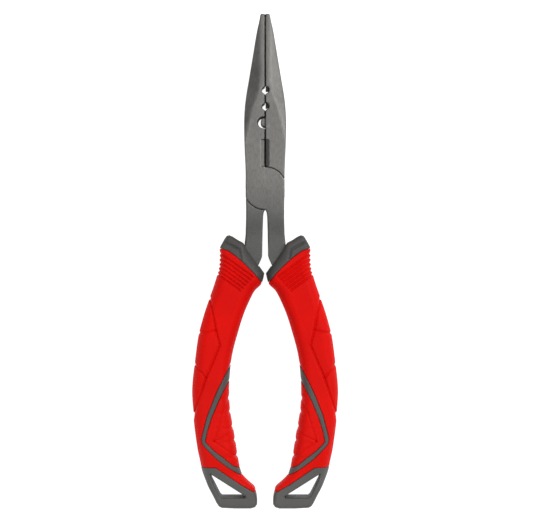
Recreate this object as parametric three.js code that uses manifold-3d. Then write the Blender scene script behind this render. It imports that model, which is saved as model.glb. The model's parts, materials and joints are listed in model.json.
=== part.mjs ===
// Long-nose fishing pliers: two crossed steel halves on one rivet, each with a plastic and rubber grip.
// Millimetres. +X right, +Y towards the jaw tips, +Z up along the rivet.
// Each half is drawn with the rivet's axis at x = y = 0 and the lap joint's mid-plane at z = 0.
// The rear half and its grip are the front ones turned half a turn about the Y axis.

import * as THREE from "three";
import { mergeVertices } from "three/addons/utils/BufferGeometryUtils.js";
import Module from "manifold-3d";

const wasm = await Module();
wasm.setup();

// Driving dimensions
const TIP_Y = 76.4;
const TAIL_Y = -139.3;
const GRIP_TOP_Y = -20.3;
const GAP = 0.3;
const GRIP_HALF_THICKNESS = 9;
const GRIP_ROUND_X = 0.52;
const GRIP_ROUND_Z = 0.7;
const TAIL_HALF_THICKNESS = 6;
const JOINT_HALF_THICKNESS = 5;
const TIP_HALF_THICKNESS = 1.9;
const ARM_HALF_THICKNESS = 4.2;
const TANG_HALF_THICKNESS = 3.4;
const TANG_WIDTH = 6;
const TANG_END_Y = -108;
const JAW_FLAT = 2.4;
const JAW_CLEARANCE = 0.18;
const FACET_SLOPE = 0.42;
const FACET_LEAST_WIDTH = 0.15;
const LAP_RADIUS = 9.3;
const LAP_HALF_WIDTH = 8.45;
const RIVET_RADIUS = 3;
const RIVET_HEAD_RADIUS = 4.6;
const RIVET_HEAD_DEPTH = 1.6;
const RIVET_RIM = 0.4;
const RIVET_BLIND_TOP = 3.5;
const RIVET_CLEARANCE = 0.1;
const ARM_POCKET_WIDTH = 9.4;
const ARM_END_Y = -33;
const SPINE_WIDTH = 8.4;
const SPINE_HALF_THICKNESS = 4.9;
const CRIMP_NOTCHES = [[43, 1.75], [35.8, 1.6]];
const CRIMP_DIE = { x: -0.7, y: 28.5, radius: 2.4 };
const CRIMP_TOOTH = { x: -0.35, radius: 1.85, halfThickness: 4.4 };
const REAR_NOTCH_FLOOR = 1.2;
const CUTTER_TOP_Y = 21.2;
const CUTTER_BOTTOM_Y = 9.5;
const CUTTER_EDGE = { x: -0.3, z: 0.5 };
const CUTTER_MOUTH = { x: -2, z: 5.2 };
const KEY_HOLE_RADIUS = 1.5;
const KEY_HOLE_YS = [-56, -88];
const FAR = 60;

const MIDDLE_Y = (TIP_Y + TAIL_Y) / 2;

// Numbers in even steps, both ends included
function evenly(from, to, count) {
  return Array.from({ length: count }, (_, i) => THREE.MathUtils.lerp(from, to, i / (count - 1)));
}

// Closed solids and manifold-3d

function solidFrom(geometry) {
  const bare = geometry.clone();
  bare.deleteAttribute("normal");
  bare.deleteAttribute("uv");
  const merged = mergeVertices(bare, 1e-4);
  return new wasm.Manifold(new wasm.Mesh({
    numProp: 3,
    vertProperties: merged.attributes.position.array,
    triVerts: new Uint32Array(merged.index.array),
  }));
}

function geometryFrom(solid) {
  const mesh = solid.getMesh();
  return new THREE.BufferGeometry()
    .setAttribute("position", new THREE.BufferAttribute(new Float32Array(mesh.vertProperties), 3))
    .setIndex(new THREE.BufferAttribute(new Uint32Array(mesh.triVerts), 1));
}

function cut(solid, ...tools) {
  return tools.reduce((left, tool) => left.subtract(tool), solid);
}

function join(first, ...others) {
  return others.reduce((whole, other) => whole.add(other), first);
}

// A plan outline, given as [x, y] points, extruded between two heights
function plate(points, low, high) {
  const shape = new THREE.Shape(points.map(([x, y]) => new THREE.Vector2(x, y)));
  const geometry = new THREE.ExtrudeGeometry(shape, { depth: high - low, bevelEnabled: false });
  return solidFrom(geometry.translate(0, 0, low));
}

function through(points) {
  return plate(points, -FAR, FAR);
}

function roundPost(x, y, radius, low, high, sides = 32) {
  const geometry = new THREE.CylinderGeometry(radius, radius, high - low, sides);
  return solidFrom(geometry.rotateX(Math.PI / 2).translate(x, y, (low + high) / 2));
}

// Points along a smooth curve through the given ones
function smooth(points, steps) {
  const curve = new THREE.SplineCurve(points.map(([x, y]) => new THREE.Vector2(x, y)));
  return curve.getPoints(steps).map((point) => [point.x, point.y]);
}

// The x of a smooth edge at a height y, from an edge's points in order of falling y
function edgeAt(edge, y) {
  const after = Math.max(1, edge.findIndex((point) => point[1] <= y));
  const [from, to] = [edge[after - 1], edge[after]];
  return THREE.MathUtils.mapLinear(y, from[1], to[1], from[0], to[0]);
}

// A closed outline moved outwards by a distance, corner by corner
function grown(points, distance) {
  const flip = THREE.ShapeUtils.area(points.map(([x, y]) => ({ x, y }))) > 0 ? 1 : -1;
  return points.map((point, i) => {
    const before = points[(i + points.length - 1) % points.length];
    const after = points[(i + 1) % points.length];
    const first = new THREE.Vector2(point[0] - before[0], point[1] - before[1]).normalize();
    const second = new THREE.Vector2(after[0] - point[0], after[1] - point[1]).normalize();
    const along = first.clone().add(second).normalize();
    const reach = (flip * distance) / Math.max(0.5, along.dot(first));
    return [point[0] + along.y * reach, point[1] - along.x * reach];
  });
}

// A strip of a given half width on each side of a centre line
function strip(line, halfWidth) {
  const sides = [1, -1].map((side) => line.map(([x, y], i) => {
    const before = line[Math.max(0, i - 1)];
    const after = line[Math.min(line.length - 1, i + 1)];
    const along = new THREE.Vector2(after[0] - before[0], after[1] - before[1]).normalize();
    return [x - side * along.y * halfWidth, y + side * along.x * halfWidth];
  }));
  return [...sides[0], ...sides[1].reverse()];
}

// A closed solid through a row of convex sections, each a list of [x, y, z] points in the same order
function loft(sections) {
  const shape = sections[0].map(([x, , z]) => ({ x, y: z }));
  const falling = sections[0][0][1] - sections.at(-1)[0][1];
  const rows = THREE.ShapeUtils.area(shape) * falling > 0 ? [...sections].reverse() : sections;
  const size = shape.length;
  const last = (rows.length - 1) * size;
  const corners = [];
  for (let i = 1; i < size - 1; i += 1) {
    corners.push(0, i, i + 1, last, last + i + 1, last + i);
  }
  for (let start = 0; start < last; start += size) {
    for (let i = 0; i < size; i += 1) {
      const [a, b] = [start + i, start + ((i + 1) % size)];
      corners.push(a, a + size, b, b, a + size, b + size);
    }
  }
  const geometry = new THREE.BufferGeometry();
  geometry.setAttribute("position", new THREE.Float32BufferAttribute(rows.flat(2), 3));
  return solidFrom(geometry.setIndex(corners));
}

// Steel halves: edges of the left jaw and the right arm, as distances from the middle line

const JAW_OUTER = smooth([
  [1.5, 76.4], [2.6, 73], [3.7, 68], [5.45, 57.4], [7.2, 47], [8.7, 36.5], [9.15, 28.5],
  [8.95, 18], [8.5, 7.7], [8.5, 0],
], 36);
const JAW_FACET = [
  [JAW_FLAT, TIP_Y], [JAW_FLAT, 47], [3.2, 42], [4.3, 38.8], [5.4, 36.1], [6.5, 32.6],
  [7.4, 29], [8.1, 25.6], [8.6, 22.5], [8.4, 0],
];
const TANG_LINE = smooth([
  [4.9, -24], [7, -34], [11.8, -42], [16.7, -50.5], [20, -61], [22.6, -75], [23.6, -89], [22.4, TANG_END_Y],
], 24);

function jawHalfThickness(y) {
  const slope = THREE.MathUtils.clamp((y - 30) / (TIP_Y - 30), 0, 1);
  return THREE.MathUtils.lerp(JOINT_HALF_THICKNESS, TIP_HALF_THICKNESS, slope);
}

function jawSection(y) {
  const outer = edgeAt(JAW_OUTER, y);
  const flat = Math.min(edgeAt(JAW_FACET, y), outer - FACET_LEAST_WIDTH);
  const top = jawHalfThickness(y);
  const side = top - FACET_SLOPE * (outer - flat);
  const upper = [[JAW_CLEARANCE, top], [flat, top], [outer, side]];
  const lower = [...upper].reverse().map(([x, z]) => [x, -z]);
  return [...upper, ...lower].map(([x, z]) => [-x, y, z]);
}

function leftJaw() {
  const heights = [TIP_Y, 75.6, 73, ...evenly(68, 47, 5), ...evenly(44, 22, 12), 15, 8, 3];
  return loft(heights.map(jawSection));
}

// Round crimp notches on the middle line, from the face below up to a floor
function crimpNotches(floor) {
  return CRIMP_NOTCHES.map(([y, radius]) => roundPost(0, y, radius, -FAR, floor, 20));
}

// The front jaw's crimping die and the rear jaw's tooth that enters it
function crimpDie() {
  return roundPost(CRIMP_DIE.x, CRIMP_DIE.y, CRIMP_DIE.radius, -FAR, FAR, 24);
}

function crimpTooth() {
  const { x, radius, halfThickness } = CRIMP_TOOTH;
  return roundPost(x, CRIMP_DIE.y, radius, -halfThickness, halfThickness, 24);
}

// The cutter's bevel on one face: a slanted groove beside the middle line
function cutterBevel(face) {
  const [edge, mouth] = [CUTTER_EDGE, CUTTER_MOUTH];
  const corners = [[mouth.x, mouth.z], [1, mouth.z], [1, edge.z], [edge.x, edge.z]];
  const section = (y) => corners.map(([x, z]) => [x, y, face * z]);
  return loft([section(CUTTER_TOP_Y), section(CUTTER_BOTTOM_Y)]);
}

function rightArm() {
  const outer = smooth([[8.5, 0], [8.3, -8], [8.3, -13], [8.6, -20], [9, -26]], 10);
  const inner = smooth([[1.4, -30], [1.1, -18.5], [0.9, -12], [0.2, -9.2]], 8);
  return plate([[0.2, 0], ...outer, [9.4, -30], ...inner], -ARM_HALF_THICKNESS, ARM_HALF_THICKNESS);
}

function tang() {
  return plate(strip(TANG_LINE, TANG_WIDTH / 2), -TANG_HALF_THICKNESS, TANG_HALF_THICKNESS);
}

// The lap: a disc round the rivet with flat flanks
function lapDisc() {
  const half = Math.asin(LAP_HALF_WIDTH / LAP_RADIUS);
  const arc = (middle) => evenly(middle - half, middle + half, 19);
  const around = [...arc(Math.PI / 2), ...arc(1.5 * Math.PI)];
  const rim = around.map((turn) => [LAP_RADIUS * Math.cos(turn), LAP_RADIUS * Math.sin(turn)]);
  return plate(rim, -JOINT_HALF_THICKNESS, JOINT_HALF_THICKNESS);
}

// What both steel halves share: left jaw, front lap and right arm with its tang
function steelHalf() {
  const body = join(leftJaw(), rightArm(), tang(), lapDisc());
  const behindLap = roundPost(0, 0, LAP_RADIUS + GAP, -FAR, GAP / 2, 72);
  const keyHoles = KEY_HOLE_YS.map((y) => keyPost(y, KEY_HOLE_RADIUS));
  return cut(body, behindLap, cutterBevel(1), cutterBevel(-1), ...keyHoles);
}

function keyPost(y, radius) {
  return roundPost(edgeAt(TANG_LINE, y), y, radius, -SPINE_HALF_THICKNESS, SPINE_HALF_THICKNESS, 16);
}

// The countersunk rivet, from its head at the back to its blind end, or the bore round it
function rivetSolid(clearance, foot, tip) {
  const shank = RIVET_RADIUS + clearance;
  const head = RIVET_HEAD_RADIUS + clearance;
  const rim = RIVET_RIM - JOINT_HALF_THICKNESS;
  const neck = RIVET_HEAD_DEPTH - JOINT_HALF_THICKNESS;
  const profile = [[0, foot], [head, foot], [head, rim], [shank, neck], [shank, tip], [0, tip]];
  const lathe = new THREE.LatheGeometry(profile.map(([r, z]) => new THREE.Vector2(r, z)), 48);
  return solidFrom(lathe.rotateX(Math.PI / 2));
}

// The front half: notches right through, the die, and a bore that stops below the front face
function frontHalf() {
  const bore = rivetSolid(RIVET_CLEARANCE, -FAR, RIVET_BLIND_TOP + GAP);
  return cut(steelHalf(), ...crimpNotches(FAR), crimpDie(), bore);
}

// The rear half, drawn before it is turned over: blind notches, the tooth and an open bore
function rearHalf() {
  const bore = rivetSolid(RIVET_CLEARANCE, -FAR, FAR).rotate([0, 180, 0]);
  return cut(join(steelHalf(), crimpTooth()), ...crimpNotches(REAR_NOTCH_FLOOR), bore);
}

// Grips: edges of the right one, as distances from the middle line

const GRIP_OUTER = smooth([
  [16.4, -20], [19.7, -26], [20.1, -34.1], [22.2, -42], [25.1, -49.8], [28.3, -60.3], [30.7, -76],
  [31.8, -89], [31, -102.2], [28.6, -117.9], [25.5, -128.3], [21.6, -136], [19.4, -142],
], 44);
const GRIP_INNER = smooth([
  [0.3, -20], [0.2, -36.7], [1.6, -41.4], [5.9, -47.2], [9.4, -55.1], [12.6, -65.5], [15.2, -78],
  [15.8, -88], [14.6, -102.2], [12.2, -115], [9.6, -125.2], [5.2, -130.3], [3.4, -136], [3.6, -142],
], 48);
const COLLAR_FRONT = [[9.1, -24.1], [8, -27], [4.8, -30.7], [0.1, -36.4]];
const COLLAR_BACK = [[22, -25.6], [18, -26.5], [13.1, -29.2], [7.9, -33.8], [4.8, -36.9], [-1, -43.9]];
const STRIPE_OUTER = [
  [12.6, -71.5], [15.3, -76.9], [21.1, -88.5], [25, -98.4], [28, -110], [21, -117.3], [16.6, -120.8],
  [10.9, -124.6], [6, -125.6],
];
const STRIPE_INNER = [
  [12.4, -77.1], [16.2, -84.5], [20, -91.9], [23.2, -99.5], [25.9, -109.7], [20, -115.2], [17, -117.6],
  [11.3, -121.7], [6, -122.6],
];
const TAIL_EDGE = [[34, -121.1], [21.4, -121.2], [15.3, -125.5], [10.5, -128.7], [4.5, -132], [0, -134.4]];
const EYE = [[24.2, -123.6], [19.6, -134.5], [7.8, -134.5]];

function gripHalfThickness(y) {
  const slope = THREE.MathUtils.smoothstep(-y, 112, 126);
  return THREE.MathUtils.lerp(GRIP_HALF_THICKNESS, TAIL_HALF_THICKNESS, slope);
}

// A section with flat faces and quarter-ellipse edges
function gripSection(y) {
  const [inner, outer] = [edgeAt(GRIP_INNER, y), edgeAt(GRIP_OUTER, y)];
  const [middle, half] = [(inner + outer) / 2, (outer - inner) / 2];
  const high = gripHalfThickness(y);
  const [roundX, roundZ] = [GRIP_ROUND_X * half, GRIP_ROUND_Z * high];
  const quarter = evenly(0, Math.PI / 2, 5);
  const corner = quarter.map((turn) => [
    half - roundX + roundX * Math.sin(turn),
    high - roundZ + roundZ * Math.cos(turn),
  ]);
  const right = [...corner, ...[...corner].reverse().map(([x, z]) => [x, -z])];
  const left = [...right].reverse().map(([x, z]) => [-x, z]);
  return [...right, ...left].map(([x, z]) => [middle + x, y, z]);
}

function gripOutline() {
  const guardCorner = [[11.4, -22.8], [15.2, -20.5], [16.6, -20.9], [40, -36]];
  const tail = [
    [40, -110], [24.6, -131], [21.4, -136.4], [19.6, -138.3], [17, TAIL_Y], [5.4, TAIL_Y],
    [3.2, -137.2], [-9, -110],
  ];
  return [...[...COLLAR_FRONT].reverse(), ...guardCorner, ...tail];
}

function gripBody() {
  const heights = evenly(GRIP_TOP_Y, TAIL_Y - 1.5, 41);
  return loft(heights.map(gripSection)).intersect(through(gripOutline()));
}

// Plan regions of the grip's grey core
function collarRegion() {
  return [[-9, -10], [40, -10], [40, -25.6], ...COLLAR_BACK];
}

function stripeRegion() {
  return [...STRIPE_OUTER, ...[...STRIPE_INNER].reverse()];
}

function tailRegion() {
  return [...TAIL_EDGE, [-9, -150], [40, -150]];
}

// The space inside the stripe, bounded by the stripe's own middle line
function insideStripe() {
  const middle = STRIPE_OUTER.map(([x, y], i) => {
    const [innerX, innerY] = STRIPE_INNER[i];
    return [(x + innerX) / 2, (y + innerY) / 2];
  });
  return [...middle, [-9, -124], [-9, -72]];
}

function spineLine() {
  return [...TANG_LINE.slice(2), [19, -116], [16.6, -126]];
}

function spine(extra) {
  const height = SPINE_HALF_THICKNESS + extra;
  return plate(strip(spineLine(), SPINE_WIDTH / 2 + extra), -height, height);
}

// The pocket in the core that the arm and the tang fill
function tangPocket() {
  const armHeight = ARM_HALF_THICKNESS + GAP;
  const tangHeight = TANG_HALF_THICKNESS + GAP;
  const armLine = [[4.6, -10], [4.8, -20], ...TANG_LINE.filter(([, y]) => y > ARM_END_Y)];
  const arm = plate(strip(armLine, ARM_POCKET_WIDTH / 2), -armHeight, armHeight);
  return arm.add(plate(strip(TANG_LINE, TANG_WIDTH / 2 + GAP), -tangHeight, tangHeight));
}

function handleCore(body) {
  const regions = [collarRegion(), stripeRegion(), tailRegion()].map(through);
  const grey = join(spine(0), ...regions);
  const keys = KEY_HOLE_YS.map((y) => keyPost(y, KEY_HOLE_RADIUS - GAP));
  return join(cut(body.intersect(grey), tangPocket(), through(EYE)), ...keys);
}

function greyWithGap() {
  return [collarRegion(), stripeRegion(), tailRegion()].map((region) => through(grown(region, GAP)));
}

function gripSleeve(body) {
  return cut(body, ...greyWithGap(), through(insideStripe()), spine(GAP));
}

function fingerPad(body) {
  return cut(body.intersect(through(insideStripe())), ...greyWithGap(), spine(GAP));
}

// Materials and assembly

function finish(color, roughness, metalness) {
  return new THREE.MeshStandardMaterial({ color, roughness, metalness });
}

const STEEL = finish(0x7d7b77, 0.4, 0.9);
const GREY_PLASTIC = finish(0x55544f, 0.6, 0);
const RED_RUBBER = finish(0xdc1710, 0.65, 0);

const pliers = new THREE.Group();
pliers.position.set(0, -MIDDLE_Y, GRIP_HALF_THICKNESS);

function addPiece(name, solid, material, turned) {
  const mesh = new THREE.Mesh(geometryFrom(solid), material);
  mesh.name = name;
  mesh.rotation.y = turned ? Math.PI : 0;
  pliers.add(mesh);
}

addPiece("front_jaw_half", frontHalf(), STEEL, false);
addPiece("rear_jaw_half", rearHalf(), STEEL, true);
addPiece("pivot_rivet", rivetSolid(0, -JOINT_HALF_THICKNESS, RIVET_BLIND_TOP), STEEL, false);

const grip = gripBody();
[["right", false], ["left", true]].forEach(([side, turned]) => {
  addPiece(`${side}_handle_core`, handleCore(grip), GREY_PLASTIC, turned);
  addPiece(`${side}_grip_sleeve`, gripSleeve(grip), RED_RUBBER, turned);
  addPiece(`${side}_finger_pad`, fingerPad(grip), RED_RUBBER, turned);
});

export default pliers;
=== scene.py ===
"""Long-nose fishing pliers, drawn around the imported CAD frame.

Every shape is a signed distance field, sampled on a fine grid and meshed with OpenVDB, so that its edges are
rounded and its ribs, grooves and seams are real geometry. Shapes are drawn in millimetres with the rivet at
x = y = 0 and the joint's mid-plane at z = 0, as the front half. The rear half is the same turned about Y."""

import json
import math

import bpy
import numpy as np
import openvdb
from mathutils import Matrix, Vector


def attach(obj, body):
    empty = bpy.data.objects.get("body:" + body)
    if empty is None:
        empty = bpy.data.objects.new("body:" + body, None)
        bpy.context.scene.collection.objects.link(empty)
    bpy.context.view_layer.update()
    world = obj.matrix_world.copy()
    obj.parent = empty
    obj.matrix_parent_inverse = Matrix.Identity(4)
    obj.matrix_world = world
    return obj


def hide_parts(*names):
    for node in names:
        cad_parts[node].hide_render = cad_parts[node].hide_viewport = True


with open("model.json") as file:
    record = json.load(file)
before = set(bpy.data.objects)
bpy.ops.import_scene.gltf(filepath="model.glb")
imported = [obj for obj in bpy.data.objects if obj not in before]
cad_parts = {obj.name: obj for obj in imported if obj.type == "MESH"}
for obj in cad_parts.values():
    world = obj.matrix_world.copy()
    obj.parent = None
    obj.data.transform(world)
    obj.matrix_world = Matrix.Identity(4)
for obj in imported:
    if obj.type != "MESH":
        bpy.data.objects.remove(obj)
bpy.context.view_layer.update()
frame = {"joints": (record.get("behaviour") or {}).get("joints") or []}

MM = 0.001
PIVOT = [c / MM for c in frame["joints"][0]["pos_m"]]
TIP_Y = 76.4
FINE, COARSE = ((0.2, 0.3))

# Half thicknesses and half widths of the main parts
GRIP_HALF, TAIL_HALF = 9.0, 6.0
JOINT_HALF, ARM_HALF, TANG_HALF = 5.0, 4.2, 3.4
TANG_HALF_WIDTH = 3.0
SPINE_HALF, SPINE_HALF_WIDTH = 4.9, 4.2


# Plan shapes: signed distances over a grid of x and y, negative inside


def catmull(points, steps=8):
    """Points along a smooth curve through the given ones."""
    p = np.array([points[0], *points, points[-1]], float)
    out = []
    for a, b, c, d in zip(p, p[1:], p[2:], p[3:]):
        for t in np.arange(steps) / steps:
            out.append(0.5 * (2 * b + (c - a) * t + (2 * a - 5 * b + 4 * c - d) * t**2
                              + (3 * b - a - 3 * c + d) * t**3))
    return [tuple(q) for q in out] + [tuple(p[-1])]


def line_distance(x, y, points):
    """The distance to a chain of straight pieces."""
    best = np.full(np.broadcast(x, y).shape, 1e9)
    for (ax, ay), (bx, by) in zip(points, points[1:]):
        dx, dy = bx - ax, by - ay
        t = np.clip(((x - ax) * dx + (y - ay) * dy) / max(dx * dx + dy * dy, 1e-12), 0, 1)
        best = np.minimum(best, np.hypot(x - ax - t * dx, y - ay - t * dy))
    return best


def inside(x, y, points):
    """True where a point lies in a closed outline."""
    result = np.zeros(np.broadcast(x, y).shape, bool)
    for (ax, ay), (bx, by) in zip(points, points[1:] + points[:1]):
        if ay == by:
            continue
        crosses = (ay > y) != (by > y)
        result ^= crosses & (x < (bx - ax) * (y - ay) / (by - ay) + ax)
    return result


def region(x, y, points):
    """A closed outline's signed distance."""
    distance = line_distance(x, y, points + points[:1])
    return np.where(inside(x, y, points), -distance, distance)


def smooth_max(a, b, r):
    """The larger of two fields, with the edge between them rounded to about r."""
    h = np.maximum(r - np.abs(a - b), 0)
    return np.maximum(a, b) + h * h / (4 * r)


def smooth_min(a, b, r):
    return -smooth_max(-a, -b, r)


def blend(a, b, share):
    return a + (b - a) * share


def ramp(value, low, high):
    t = np.clip((value - low) / (high - low), 0, 1)
    return t * t * (3 - 2 * t)


def groove(distance, width, depth):
    """A round-bottomed groove's depth at a distance from its middle."""
    return depth * np.exp(-((distance / width) ** 2))


# Grip outlines, as distances from the middle line, in order of falling y

GRIP_OUTER = catmull([
    (19.7, -26), (19.9, -30.5), (20.2, -34.6), (21.5, -39.6), (23.4, -45.3), (25.1, -49.8), (28.2, -60.3),
    (29.4, -66), (30.7, -76), (31.7, -85), (31.75, -92), (31, -102.2), (29.6, -112.6), (28.5, -118.2),
    (27.4, -123.6), (25.3, -128.6), (22.7, -133.6), (21.2, -136.6),
])
GRIP_INNER = catmull([
    (0.35, -36.9), (0.9, -39.6), (1.9, -42), (4.6, -44.7), (7.2, -49.8), (9.4, -55.1), (11.3, -61),
    (14, -70.8), (15.3, -79), (15.75, -88), (15.3, -96.9), (13.5, -107.4), (11.9, -117.3), (10.6, -123.3),
    (9.2, -125.7), (6.8, -128.3), (4.6, -130.5), (3.9, -133),
])
GUARD = [(3.4, -32.6), (5.6, -29.7), (7.9, -26.9), (9.0, -24.6), (9.6, -23.6), (11.6, -22.6), (14.2, -20.9),
         (15.6, -20.35), (16.7, -20.7), (17.6, -22), (19.2, -24.9)]
TAIL_END = [(20.2, -138.2), (18.9, -138.9), (13, -139.2), (6.2, -139.2), (4.3, -138.6), (3.45, -137.3),
            (3.5, -135.2)]
COLLAR_BACK = [(24, -25.2), (18, -26.5), (15.9, -27.2), (13.1, -29.2), (10.5, -31.3), (7.9, -33.8),
               (4.8, -36.9), (2.9, -39.3), (-1, -44)]
STRIPE_OUTER = [(12.6, -71.5), (15.3, -76.9), (21.1, -88.5), (25, -98.4), (27.4, -107.6), (27.6, -109.4),
                (26.9, -111.1), (21, -117.3), (16.6, -120.8), (10.9, -124.6), (6, -125.6)]
STRIPE_INNER = [(12.4, -77.1), (16.2, -84.5), (20, -91.9), (23.2, -99.5), (24.9, -105), (25.9, -109.7),
                (22, -113.7), (17, -117.6), (14.1, -120.2), (11.3, -121.7), (6, -122.6)]
TAIL_EDGE = [(34, -121), (27.8, -121.1), (21.4, -121.2), (15.3, -125.5), (10.5, -128.7), (6.3, -131.1),
             (4.5, -132), (0, -134.4)]
EYE = [(24.0, -123.9), (23.3, -126.6), (19.7, -133.7), (18.9, -134.4), (8.6, -134.4), (8.2, -133.9)]
TANG_LINE = catmull([(4.9, -24), (7, -34), (11.8, -42), (16.7, -50.5), (20, -61), (22.6, -75), (23.6, -89),
                     (22.4, -108)])
SPINE_LINE = TANG_LINE[12:] + [(19, -116), (17.4, -123)]
ARM_OUTLINE = [(0.2, 0), (8.5, 0), (8.3, -8), (8.3, -13), (8.5, -20), (9.1, -26), (10.8, -34), (9.5, -38),
               (4.6, -36.5), (2.9, -33.4), (1.55, -30.3), (1.3, -29.2), (1.1, -18.5), (0.9, -12),
               (0.62, -10.2), (0.2, -9.2)]

# Seams and gaps between the grip's pieces
SEAM = 0.05
SEAM_ROUND = 0.35
RUBBER_SINK = 0.04
POCKET_GAP, ARM_GAP = 0.1, 0.25
LEDGE_REACH, LEDGE_DEPTH = 0.8, 1.0
EYE_ROUND = 0.7


def grip_outline():
    return GUARD + GRIP_OUTER + TAIL_END + GRIP_INNER[::-1]


def collar_region(x, y):
    return region(x, y, [(-30, 30), (60, 30), (60, -17.5)] + COLLAR_BACK + [(-30, -78)])


def stripe_region(x, y):
    return region(x, y, STRIPE_OUTER + STRIPE_INNER[::-1])


def inside_stripe(x, y):
    middle = [((a + c) / 2, (b + d) / 2) for (a, b), (c, d) in zip(STRIPE_OUTER, STRIPE_INNER)]
    return region(x, y, middle + [(-9, -124), (-9, -72)])


def tail_region(x, y):
    return region(x, y, TAIL_EDGE + [(-9, -160), (50, -160)])


# Relief on the grips: how far the surface lies below the plain body, from the plan alone

RIB_SLOPE = math.radians(36)
RIB_START, RIB_PITCH, RIB_COUNT = -34.3, 1.6, 6
RIB_ENDS = ((5, -38.7), (10.9, -44.9))
RIB_DEPTH = 0.6
PANEL_LINES = [
    ([(23.9, -47.5), (21.3, -61.4), (19.6, -68), (22.2, -74.2), (25.6, -82), (28, -89.3), (31.4, -100)], 0.6),
    ([(21.3, -61.4), (24.6, -62.2), (29.6, -62.9)], 0.504),
    ([(25.6, -82), (28.2, -79.2), (31.6, -75.4)], 0.504),
]
PANEL_LINE_WIDTH, PANEL_FALL = 0.42, 0.16
PAD_LINES = [
    [(22.1, -109.4), (18.4, -97.5), (16.2, -92.5)],
    [(22.1, -109.4), (17.6, -107.4), (12.6, -104.4)],
    [(22.1, -109.4), (16.4, -113.6), (11.4, -117.3)],
]
PAD_LINE_WIDTH, PAD_LINE_DEPTH = 0.36, 0.3
NOTCH_YS = [-91.5, -97.5, -104, -110, -116.5]
NOTCH_WIDTH, NOTCH_DEPTH, NOTCH_REACH = 0.75, 0.6, 3
COLLAR_LINE = [(17.2, -23.4), (11.2, -26.7), (10.4, -30.6)]
COLLAR_LINE_WIDTH, COLLAR_LINE_DEPTH = 0.4, 0.5


def rib_relief(x, y):
    """Slanted grooves behind the thumb guard, from the outer side to a slanting line near the inner one."""
    place = (RIB_START - y * math.cos(RIB_SLOPE) + x * math.sin(RIB_SLOPE)) / RIB_PITCH
    wave = 0.5 + 0.5 * np.cos(2 * math.pi * place)
    (ax, ay), (bx, by) = RIB_ENDS
    past_end = ((x - ax) * (ay - by) + (y - ay) * (bx - ax)) / math.hypot(bx - ax, by - ay)
    fade = ramp(place, -0.6, -0.3) * (1 - ramp(place, RIB_COUNT - 0.7, RIB_COUNT - 0.4))
    return RIB_DEPTH * wave**1.5 * fade * ramp(past_end, -0.4, 0.8)


def panel_relief(x, y):
    """Long slanted facets on the outer side, each falling to a sharp line."""
    total = np.zeros(np.broadcast(x, y).shape)
    for line, depth in PANEL_LINES:
        total += groove(line_distance(x, y, line), PANEL_LINE_WIDTH, depth)
    main = PANEL_LINES[0][0]
    outer = inside(x, y, main + [(50, -100), (50, -47.5)])
    return total + np.where(outer, PANEL_FALL, 0) * (1 - ramp(line_distance(x, y, main), 0.5, 4))


def pad_relief(x, y, side_distance):
    """Facet lines that meet in a K, and finger notches along the inner side."""
    total = sum(groove(line_distance(x, y, line), PAD_LINE_WIDTH, PAD_LINE_DEPTH) for line in PAD_LINES)
    fade = np.exp(-side_distance / NOTCH_REACH)
    return total + sum(groove(y - notch_y, NOTCH_WIDTH, NOTCH_DEPTH) * fade for notch_y in NOTCH_YS)


def collar_relief(x, y):
    """An angled line along the guard, a little way in from its edges."""
    return groove(line_distance(x, y, COLLAR_LINE), COLLAR_LINE_WIDTH, COLLAR_LINE_DEPTH)


# Grips as fields


def axis_grid(low, high, step):
    xs, ys, zs = [np.arange(a, b + step, step, dtype=np.float32) for a, b in zip(low, high)]
    return xs[:, None, None], ys[None, :, None], zs[None, None, :]


def rounded_plate(plan, z, half, round_x, round_z):
    """A plate of a plan shape whose rim is rounded with an elliptical section."""
    qx = np.maximum((plan + round_x) / round_x, 0)
    qz = np.maximum((np.abs(z) - half + round_z) / round_z, 0)
    rim = (np.sqrt(qx * qx + qz * qz) - 1) * np.minimum(round_x, round_z)
    return np.maximum(rim, plan)


def plate(plan, z, low, high, r=0.3):
    return smooth_max(plan, np.maximum(low - z, z - high), r)


def spine_field(x, y, z, extra):
    plan = line_distance(x, y, SPINE_LINE) - SPINE_HALF_WIDTH - extra
    return plate(plan, z, -SPINE_HALF - extra, SPINE_HALF + extra)


def tang_field(x, y, z, extra):
    plan = line_distance(x, y, TANG_LINE) - TANG_HALF_WIDTH - extra
    arm = region(x, y, ARM_OUTLINE) - extra
    tang = plate(plan, z, -TANG_HALF - extra, TANG_HALF + extra)
    return np.minimum(tang, plate(arm, z, -ARM_HALF - extra, ARM_HALF + extra))


GRIP_BOX = (-1, -141, -10), (33, -19, 10)
RIM_WIDTH, RIM_WIDTH_AT_ENDS = 4.6, 1.7
RIM_HEIGHT, RIM_HEIGHT_AT_ENDS = 6.2, 2.2
GUARD_DROP = 0.5


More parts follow.
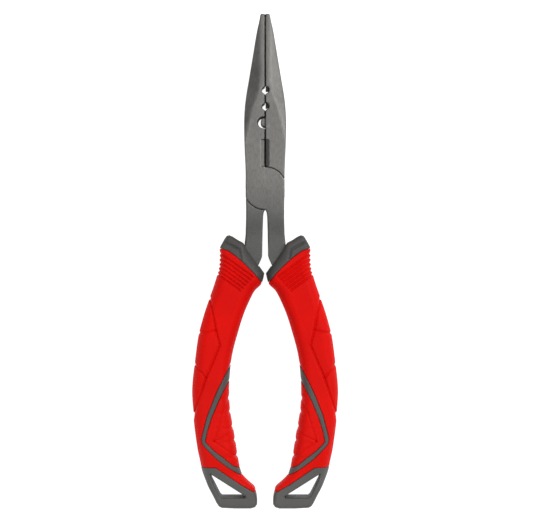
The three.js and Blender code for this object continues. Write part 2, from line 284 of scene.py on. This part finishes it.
class Grip:
    """The right grip's body and the regions that its pieces are cut from."""

    def __init__(self):
        self.x, self.y, self.z = axis_grid(*GRIP_BOX, COARSE)
        x, y = self.x[:, :, 0].astype(float), self.y[:, :, 0].astype(float)
        x, y = np.broadcast_arrays(x, y)
        self.collar = self.lift(collar_region(x, y))
        self.stripe = self.lift(stripe_region(x, y))
        self.within = self.lift(inside_stripe(x, y))
        self.tail = self.lift(tail_region(x, y))
        self.eye = self.lift(region(x, y, EYE))
        outline = region(x, y, grip_outline())
        side = line_distance(x, y, GRIP_INNER)
        ends = np.maximum(ramp(y, -31, -25), ramp(-y, 124, 131))
        half = blend(GRIP_HALF, TAIL_HALF, ramp(-y, 112, 127)) - GUARD_DROP * ramp(y, -32, -21)
        self.body = rounded_plate(self.lift(outline), self.z, self.lift(half),
                                  self.lift(blend(RIM_WIDTH, RIM_WIDTH_AT_ENDS, ends)),
                                  self.lift(blend(RIM_HEIGHT, RIM_HEIGHT_AT_ENDS, ends)))
        self.red_relief = self.lift(rib_relief(x, y) + panel_relief(x, y))
        self.pad_relief = self.lift(pad_relief(x, y, side))
        self.collar_relief = self.lift(collar_relief(x, y))

    @staticmethod
    def lift(plan):
        return plan.astype(np.float32)[:, :, None]

    def grey(self):
        return np.minimum(np.minimum(self.collar, self.stripe), self.tail)

    def ledge(self, extra):
        """A flange of the core that reaches a little way under the rubber at every seam."""
        return np.maximum(self.grey() - LEDGE_REACH - extra, self.body + LEDGE_DEPTH - extra)

    def filling(self):
        """What the rubber is moulded round, with a small gap."""
        return np.minimum(spine_field(self.x, self.y, self.z, POCKET_GAP), self.ledge(POCKET_GAP))

    def core(self):
        sunk = np.where(self.collar < 1, self.collar_relief, 0.0)
        body = self.body + sunk
        surface = smooth_max(body, self.grey() + SEAM, SEAM_ROUND)
        inner = np.maximum(spine_field(self.x, self.y, self.z, 0), body)
        whole = np.minimum(np.minimum(surface, inner), self.ledge(0))
        whole = smooth_max(whole, -tang_field(self.x, self.y, self.z, ARM_GAP), 0.3)
        return smooth_max(whole, -self.eye, EYE_ROUND)

    def rubber(self, relief, place):
        shell = smooth_max(self.body + relief + RUBBER_SINK, place, SEAM_ROUND)
        return np.maximum(shell, -self.filling())

    def sleeve(self):
        red = np.maximum(-self.grey() + SEAM, -self.within)
        return self.rubber(self.red_relief, red)

    def pad(self):
        red = np.maximum(-self.stripe + SEAM, self.within)
        return self.rubber(self.pad_relief, red)


# Steel halves as fields

JAW_OUTER = catmull([(1.7, 76.3), (2.15, 75.6), (2.6, 73), (3.7, 68), (5.45, 57.4), (7.2, 47), (8.1, 41.7),
                     (8.75, 36.5), (9.1, 31.3), (9.15, 26), (8.95, 18), (8.5, 7.7), (8.5, 0)])
FACET_EDGE = [(2.4, 90), (2.4, 47), (3.2, 42), (4.3, 38.8), (5.4, 36.1), (6.5, 32.6), (7.4, 29), (8.1, 25.6),
              (8.7, 22.5), (12, 14), (12, -40)]
LAP_RADIUS, LAP_GAP = 9.3, 0.12
FACE_GAP, GRIP_GAP = 0.2, 0.03
LAP_HALF_WIDTH = 8.47
TIP_DROP, FACET_SLOPE = 3.1, 0.45
RIVET_RADIUS, RIVET_HEAD, RIVET_TOP_Z = 3.0, 4.6, 3.5
RIVET_NECK_Z, RIVET_TAPER = -3.4, 1.2
RIVET_CLEARANCE = 0.06
TOOTH_PITCH, TOOTH_DEPTH = 1.1, 0.36
TEETH_BOTTOM, TEETH_TOP = (45.4, 46.2), (74.9, 75.5)
LIP_DEPTH = 0.3

# Crimp notches as y and radius, and the front jaw's die and the rear jaw's tooth as x, y and radius
NOTCHES = [(43.0, 1.75), (35.8, 1.6)]
FRONT_NOTCH_DROP, FRONT_NOTCH_LESS = 0.35, 0.3
NOTCH_FLOOR_Z, NOTCH_CHAMFER = 1.2, 0.25
DIE = (-0.7, 28.5, 2.4)
DIE_TOOTH = (0, 28.75, 1.95)
DIE_TOOTH_HALF = 4.8

# The cutter's bevels: how much wider they get per millimetre of height, and from which height
CUTTER_BOTTOM_Y, CUTTER_TOP_Y = 9.5, 21.2
CUTTER_SLOT, CUTTER_SLOT_SLOPE = 0.05, 0.05
FRONT_BEVEL, REAR_BEVEL = (1.7, 4.0), (1.1, 3.6)


def jaw_half_height(y):
    return JOINT_HALF - TIP_DROP * np.clip((y - 30) / (TIP_Y - 30), 0, 1)


def jaw_field(x, y, z):
    """The left jaw: a tapering bar with a slanted facet on its outer side, front and back."""
    outline = [(0, 76.3)] + JAW_OUTER + [(0, 0)]
    plan = region(-x[:, :, 0], y[:, :, 0], outline)[:, :, None]
    facet = region(-x[:, :, 0], y[:, :, 0], FACET_EDGE + [(-20, -40), (-20, 90)])[:, :, None]
    top = np.abs(z) - jaw_half_height(y)
    slanted = (top + FACET_SLOPE * facet) * math.cos(math.atan(FACET_SLOPE))
    return smooth_max(smooth_max(plan, top, 0.4), slanted, 0.4)


def arm_field(x, y, z):
    plan = region(x, y, ARM_OUTLINE)
    half = blend(JOINT_HALF, ARM_HALF, ramp(-y, 9, 22))
    return smooth_max(plan, np.abs(z) - half, 0.7)


def lap_field(x, y, z):
    flank = smooth_max(np.hypot(x, y) - LAP_RADIUS, np.abs(x) - LAP_HALF_WIDTH, 0.2)
    return smooth_max(flank, np.abs(z) - JOINT_HALF, 0.6)


def lip(y, z):
    """How far one jaw's edge leans over the other's in mid-height, so that no light passes between them."""
    middle = 1 - ramp(np.abs(z) / jaw_half_height(y), 0.15, 0.35)
    return LIP_DEPTH * np.clip(z / 0.4, -1, 1) * middle


def tooth_cut(x, y, z, rear):
    """The gripping face: a slot at both faces, and meshing teeth from the tip to the first notch."""
    ridge = 1 - np.abs(2 * ((y / TOOTH_PITCH) % 1) - 1)
    ridge = (1 - ridge if rear else ridge) - 0.5
    on = ramp(y, *TEETH_BOTTOM) * (1 - ramp(y, *TEETH_TOP))
    open_face = ramp(np.abs(z) / jaw_half_height(y), 0.15, 0.35)
    gap = GRIP_GAP + (FACE_GAP - GRIP_GAP) * open_face
    return lip(y, z) - x - gap - TOOTH_DEPTH * ridge * on


def crimp_cut(x, y, z, rear):
    """Two crimp notches, half blind in the rear jaw, and a larger one that the rear jaw's tooth enters."""
    chamfer = NOTCH_CHAMFER * ramp(-z if rear else np.abs(z), 3.4, 4.8)
    if rear:
        blind = [rear_notch(x, y, z, *notch) for notch in NOTCHES]
        return np.minimum(*blind) - chamfer
    small = np.minimum(*[np.hypot(x, y - cy + FRONT_NOTCH_DROP) - r + FRONT_NOTCH_LESS for cy, r in NOTCHES])
    die = np.hypot(x - DIE[0], y - DIE[1]) - DIE[2]
    return np.minimum(small, die) - chamfer


def rear_notch(x, y, z, middle_y, radius):
    """A notch in the rear jaw: blind in its upper half and open right through in its lower half."""
    floor = z - NOTCH_FLOOR_Z - 6 * ramp(middle_y - y, 0, 0.8)
    return np.maximum(np.hypot(x, y - middle_y) - radius, floor)


def crimp_tooth(x, y, z):
    """The rear jaw's rounded tooth, which presses a sleeve into the front jaw's notch."""
    middle_x, middle_y, radius = DIE_TOOTH
    return smooth_max(np.hypot(x - middle_x, y - middle_y) - radius, np.abs(z) - DIE_TOOTH_HALF, 0.4)


def cutter_cut(x, y, z, rear):
    """The ground valley beside the cutting edges, open to both faces."""
    along = np.maximum(CUTTER_BOTTOM_Y - y, y - CUTTER_TOP_Y)
    slope, start = REAR_BEVEL if rear else FRONT_BEVEL
    slot = CUTTER_SLOT + CUTTER_SLOT_SLOPE * (np.abs(z) - 0.5)
    bevel = slope * np.maximum(np.abs(z) - start, 0)
    return smooth_max(along, (lip(y, z) - x - slot - bevel) * 0.8, 0.3)


def steel_field(x, y, z, rear):
    jaw = jaw_field(x, y, z)
    arm = np.minimum(arm_field(x, y, z), tang_field(x, y, z, 0) + 50 * (y > -24))
    body = smooth_min(np.minimum(jaw, arm), lap_field(x, y, z), 0.12)
    disc = np.hypot(x, y) - LAP_RADIUS - LAP_GAP
    behind = smooth_max(disc, z - LAP_GAP / 2, 0.15)
    body = smooth_max(body, -behind, 0.25)
    for cutter in (tooth_cut, crimp_cut, cutter_cut):
        limit = np.maximum(cutter(x, y, z, rear), LAP_RADIUS + 0.02 - np.where(y > 0, np.hypot(x, y), 0))
        body = smooth_max(body, -limit, 0.12)
    if rear:
        body = smooth_min(body, crimp_tooth(x, y, z), 0.3)
    bore = rivet_field(x, y, -z if rear else z, RIVET_CLEARANCE, open_end=rear)
    return np.maximum(body, -bore)


def rivet_field(x, y, z, extra, open_end=False):
    """The rivet, grown by a clearance for its bore; both run on below the rear face, at -JOINT_HALF."""
    radius = np.hypot(x, y)
    top = JOINT_HALF + 1 if open_end else RIVET_TOP_Z + extra
    foot = -JOINT_HALF - 4 - z
    shank = np.maximum(radius - RIVET_RADIUS - extra, np.maximum(foot, z - top))
    taper = RIVET_RADIUS + (RIVET_HEAD - RIVET_RADIUS) * (RIVET_NECK_Z - z) / RIVET_TAPER
    cone = (radius - taper - extra) * 0.6
    head = np.maximum(np.maximum(cone, radius - RIVET_HEAD - extra), np.maximum(foot, z - RIVET_NECK_Z))
    return np.minimum(shank, head)


# Meshes


def mesh_piece(name, field, grid, step, body, material, replaced, turned=False):
    """Meshes a field as one piece, and for the rear half turns it half a turn about the Y axis."""
    volume = openvdb.FloatGrid(1.0)
    volume.copyFromArray(np.ascontiguousarray(np.clip(field / step, -3, 3), dtype=np.float32))
    points, quads = volume.convertToQuads()
    low = np.array([axis.min() for axis in grid])
    points = points * step + low
    if turned:
        points = points * np.array([-1, 1, -1])
    points = (points + np.array(PIVOT)) * MM
    mesh = bpy.data.meshes.new(name)
    mesh.from_pydata(points.tolist(), [], quads.tolist())
    mesh.validate()
    mesh.shade_smooth()
    piece = bpy.data.objects.new(name, mesh)
    bpy.context.scene.collection.objects.link(piece)
    mesh.materials.append(material)
    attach(piece, body)
    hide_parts(*replaced)
    return piece


# Materials

STEEL_DARK = (0.145, 0.141, 0.134, 1)
STEEL_LIGHT = (0.195, 0.19, 0.181, 1)
# Painted shade: darker steel for the arms below the joint
STEEL_ARM_SHADE = (0.095, 0.095, 0.092, 1)
STEEL_GRAIN = (0.085, 0.084, 0.08, 1)
STEEL_EDGE = (0.32, 0.317, 0.31, 1)
# Painted shade: near-black steel for the slot between the jaws, and the height up the tool where it starts
STEEL_SLOT_SHADE = (0.02, 0.019, 0.018, 1)
SLOT_SHADE_FROM = PIVOT[1] * MM + 0.0095
GREY_DARK = (0.055, 0.0535, 0.051, 1)
GREY_LIGHT = (0.078, 0.076, 0.072, 1)
# Pale grey for edges paled by wear, and painted light towards the tail end
GREY_WORN_AND_LIT = (0.14, 0.138, 0.13, 1)
# Painted shade for grooves and inner corners of the grey plastic
GREY_HOLLOW_SHADE = (0.03, 0.03, 0.028, 1)
RED_DARK = (0.58, 0.0022, 0.001, 1)
RED_LIGHT = (0.69, 0.004, 0.0016, 1)
# Pale red for edges paled by wear, and painted light towards the tail end
RED_WORN_AND_LIT = (0.76, 0.01, 0.005, 1)
# Painted shade for grooves and inner corners of the red rubber
RED_HOLLOW_SHADE = (0.34, 0.001, 0.0005, 1)


class Look:
    """A node material built round one Principled shader."""

    def __init__(self, name, roughness, metallic=0.0):
        self.material = bpy.data.materials.new(name)
        self.material.use_nodes = True
        self.nodes = self.material.node_tree.nodes
        self.links = self.material.node_tree.links
        self.shader = self.nodes["Principled BSDF"]
        self.shader.inputs["Metallic"].default_value = metallic
        self.shader.inputs["Roughness"].default_value = roughness
        self.place = self.nodes.new("ShaderNodeTexCoord").outputs["Object"]

    def add(self, kind, settings=None, **inputs):
        """A node; inputs are given by name, or as i0, i1 and so on by their place in its list."""
        node = self.nodes.new(kind)
        for key, value in (settings or {}).items():
            setattr(node, key, value)
        for key, value in inputs.items():
            socket = node.inputs[int(key[1:])] if key[0] == "i" and key[1:].isdigit() else node.inputs[key]
            if isinstance(value, bpy.types.NodeSocket):
                self.links.new(value, socket)
            else:
                socket.default_value = value
        return node

    def noise(self, scale, detail=4.0, stretch=(1, 1, 1)):
        mapped = self.add("ShaderNodeMapping", Vector=self.place, Scale=stretch)
        texture = self.add("ShaderNodeTexNoise", Vector=mapped.outputs[0], Scale=scale, Detail=detail)
        return texture.outputs["Fac"]

    def between(self, factor, low, high, a=0.0, b=1.0):
        """Maps a factor's range a..b to the range low..high."""
        settings = {"clamp": True}
        node = self.add("ShaderNodeMapRange", settings, i0=factor, i1=a, i2=b, i3=low, i4=high)
        return node.outputs[0]

    def size_of(self, value):
        return self.add("ShaderNodeMath", {"operation": "ABSOLUTE"}, i0=value).outputs[0]

    def product(self, first, second):
        return self.add("ShaderNodeMath", {"operation": "MULTIPLY"}, i0=first, i1=second).outputs[0]

    def mix(self, factor, first, second):
        node = self.add("ShaderNodeMix", {"data_type": "RGBA"})
        for index, value in ((0, factor), (6, first), (7, second)):
            if isinstance(value, bpy.types.NodeSocket):
                self.links.new(value, node.inputs[index])
            else:
                node.inputs[index].default_value = value
        return node.outputs[2]

    def bump(self, height, distance, strength):
        node = self.add("ShaderNodeBump", Height=height, Distance=distance, Strength=strength)
        return node.outputs["Normal"]

    def edges(self, low=0.52, high=0.62):
        """1 on outer edges and 0 elsewhere, from the mesh's own curvature."""
        pointiness = self.add("ShaderNodeNewGeometry").outputs["Pointiness"]
        return self.between(pointiness, 0, 1, low, high)

    def shaded_hollows(self, low=0.4, high=0.485):
        """1 in grooves and inner corners and 0 elsewhere; the mask for painted shade there."""
        pointiness = self.add("ShaderNodeNewGeometry").outputs["Pointiness"]
        return self.between(pointiness, 1, 0, low, high)

    def finish(self, color, roughness, normal):
        self.links.new(color, self.shader.inputs["Base Color"])
        self.links.new(roughness, self.shader.inputs["Roughness"])
        self.links.new(normal, self.shader.inputs["Normal"])
        return self.material


def steel_look():
    """Satin steel: fine ground grain along the tool, cloudy tarnish, edges paled by wear, painted shade on
    the arms and painted shade in the slot between the jaws.
    """
    look = Look("satin_steel", 0.4, metallic=0.9)
    grain = look.noise(1500, 4, (1, 0.3, 1))
    speckle = look.noise(3800, 2)
    cloud = look.noise(90, 5)
    across, along, _ = look.add("ShaderNodeSeparateXYZ", Vector=look.place).outputs
    # Painted shade: the arms below the joint are darkened, standing in for their slope away from the light
    arms = look.between(along, 1.0, 0.0, 0.015, 0.036)
    # Painted shade: a thin strip either side of the slot between the jaws, beyond the lap, is darkened to
    # near black
    near_middle = look.between(look.size_of(across), 0.7, 0.0, 0.00022, 0.00045)
    past_lap = look.between(along, 0.0, 1.0, SLOT_SHADE_FROM, SLOT_SHADE_FROM + 0.0005)
    color = look.mix(look.between(cloud, 0, 1, 0.3, 0.7), STEEL_DARK, STEEL_LIGHT)
    color = look.mix(arms, color, STEEL_ARM_SHADE)
    color = look.mix(look.between(grain, 0, 0.3, 0.4, 0.62), color, STEEL_GRAIN)
    color = look.mix(look.between(speckle, 0, 0.25, 0.55, 0.75), color, STEEL_EDGE)
    color = look.mix(look.between(look.edges(), 0, 0.2), color, STEEL_EDGE)
    # Painted shade in the slot between the jaws
    color = look.mix(look.product(near_middle, past_lap), color, STEEL_SLOT_SHADE)
    roughness = look.between(cloud, 0.48, 0.6, 0.25, 0.75)
    normal = look.bump(grain, 0.00004, 0.6)
    return look.finish(color, roughness, normal)


def rivet_look():
    """Turned steel, with fine rings round the rivet's axis."""
    look = Look("turned_steel", 0.35, metallic=0.95)
    centre = tuple(-c * MM for c in (PIVOT[0], PIVOT[1], 0))
    mapped = look.add("ShaderNodeMapping", Vector=look.place, Location=centre)
    rings = look.add("ShaderNodeTexWave", {"wave_type": "RINGS", "rings_direction": "Z"},
                     Vector=mapped.outputs[0], Scale=900, Distortion=0.4)
    cloud = look.noise(300, 3)
    color = look.mix(look.between(cloud, 0, 1, 0.3, 0.7), STEEL_DARK, STEEL_LIGHT)
    roughness = look.between(cloud, 0.3, 0.42, 0.25, 0.75)
    return look.finish(color, roughness, look.bump(rings.outputs["Fac"], 0.00002, 0.4))


def moulded_look(name, dark, light, worn_and_lit, hollow_shade, roughness, texture_scale, depth, shine):
    """A moulded plastic or rubber: fine spark-eroded texture, slight colour drift, paler handled edges,
    painted light that makes the tail end paler, and painted shade in grooves and inner corners.
    """
    look = Look(name, roughness)
    look.shader.inputs["Specular IOR Level"].default_value = shine
    grain = look.noise(texture_scale, 3)
    drift = look.noise(60, 4)
    color = look.mix(look.between(drift, 0, 1, 0.3, 0.7), dark, light)
    color = look.mix(look.between(grain, 0, 0.25, 0.35, 0.7), color, dark)
    # Painted light: up to 0.4 of the pale colour is mixed in towards the tail end, making that end lighter as
    # if more light fell there
    along = look.add("ShaderNodeSeparateXYZ", Vector=look.place).outputs["Y"]
    color = look.mix(look.between(along, 0.4, 0, -0.095, -0.02), color, worn_and_lit)
    color = look.mix(look.between(look.edges(), 0, 0.3), color, worn_and_lit)
    # Painted shade: grooves and inner corners are darkened
    color = look.mix(look.between(look.shaded_hollows(), 0, 0.5), color, hollow_shade)
    rough = look.between(drift, roughness - 0.07, roughness + 0.07, 0.3, 0.7)
    return look.finish(color, rough, look.bump(grain, depth, 0.6))


# The pieces

STEEL_BOX = (-10, -110, -6), (28, 77.4, 6)
RIVET_BOX = (-6, -6, -7), (6, 6, 5)
STEEL_HALVES = (("front_jaw_half", "front_half", False), ("rear_jaw_half", "rear_half", True))
GRIP_SIDES = (("right", "front_half", False), ("left", "rear_half", True))


def build_steel(material):
    for name, body, turned in STEEL_HALVES:
        grid = axis_grid(*STEEL_BOX, FINE)
        field = steel_field(*grid, turned)
        mesh_piece(name + "_steel", field, grid, FINE, body, material, [name], turned)


def build_rivet(material):
    """The rivet, ended a hair short of the rear face, on a grid twice as fine as the rest."""
    step = FINE / 2
    grid = axis_grid(*RIVET_BOX, step)
    x, y, z = grid
    field = smooth_max(rivet_field(x, y, z, 0), 0.04 - JOINT_HALF - z, 0.2)
    mesh_piece("pivot_rivet_turned", field, grid, step, "front_half", material,
               ["pivot_rivet"])


def build_grips(grey, red):
    grip = Grip()
    grid = (grip.x, grip.y, grip.z)
    parts = (("handle_core", grip.core(), "grey_plastic", grey),
             ("grip_sleeve", grip.sleeve(), "red_rubber", red),
             ("finger_pad", grip.pad(), "red_rubber", red))
    for side, body, turned in GRIP_SIDES:
        for name, field, slot, material in parts:
            node = side + "_" + name
            mesh_piece(node + "_moulded", field, grid, COARSE, body, material, [node], turned)


# Camera, floor and light

VIEW_WIDTH = 0.2324
VIEW_CENTRE = (0.0006, -0.0010)
VIEW_PLANE_Z = 0.011
CAMERA_DISTANCE = 0.65
FLOOR_GLOW = 0.96
WORLD_LIGHT = 0.32
KEY_POWER = 5.4
TOP_POWER = 2.8
FILL_POWER = 2.0


def add_camera():
    data = bpy.data.cameras.new("camera")
    data.sensor_width = 36
    data.lens = 36 * CAMERA_DISTANCE / VIEW_WIDTH
    camera = bpy.data.objects.new("camera", data)
    camera.location = (VIEW_CENTRE[0], VIEW_CENTRE[1], CAMERA_DISTANCE + VIEW_PLANE_Z)
    bpy.context.scene.collection.objects.link(camera)
    bpy.context.scene.camera = camera


def add_area(name, place, size, power, target=(0, 0, 0)):
    data = bpy.data.lights.new(name, "AREA")
    data.size = size
    data.energy = power
    light = bpy.data.objects.new(name, data)
    light.location = place
    light.rotation_euler = (Vector(target) - Vector(place)).to_track_quat("-Z", "Y").to_euler()
    bpy.context.scene.collection.objects.link(light)


def add_floor():
    mesh = bpy.data.meshes.new("floor")
    mesh.from_pydata([(-3, -3, 0), (3, -3, 0), (3, 3, 0), (-3, 3, 0)], [], [(0, 1, 2, 3)])
    floor = bpy.data.objects.new("floor", mesh)
    floor.location.z = -0.0002
    bpy.context.scene.collection.objects.link(floor)
    look = Look("floor_paper", 0.9)
    look.shader.inputs["Base Color"].default_value = (0.3, 0.3, 0.3, 1)
    look.shader.inputs["Emission Color"].default_value = (1, 1, 1, 1)
    look.shader.inputs["Emission Strength"].default_value = FLOOR_GLOW
    mesh.materials.append(look.material)


def light_scene():
    world = bpy.data.worlds.new("world")
    world.use_nodes = True
    background = world.node_tree.nodes["Background"]
    background.inputs["Color"].default_value = (1, 1, 1, 1)
    background.inputs["Strength"].default_value = WORLD_LIGHT
    bpy.context.scene.world = world
    add_area("key", (0.5, 0.28, 0.72), 0.5, KEY_POWER)
    add_area("top", (0.1, 0.15, 1.1), 0.8, TOP_POWER)
    add_area("fill", (-0.55, -0.4, 0.55), 0.7, FILL_POWER)
    bpy.context.scene.view_settings.view_transform = "Standard"


add_camera()
add_floor()
light_scene()
build_steel(steel_look())
build_rivet(rivet_look())
build_grips(
    moulded_look("grey_plastic", GREY_DARK, GREY_LIGHT, GREY_WORN_AND_LIT, GREY_HOLLOW_SHADE, 0.55, 2600, 0.00004, 0.25),
    moulded_look("red_rubber", RED_DARK, RED_LIGHT, RED_WORN_AND_LIT, RED_HOLLOW_SHADE, 0.6, 3200, 0.00003, 0.07),
)
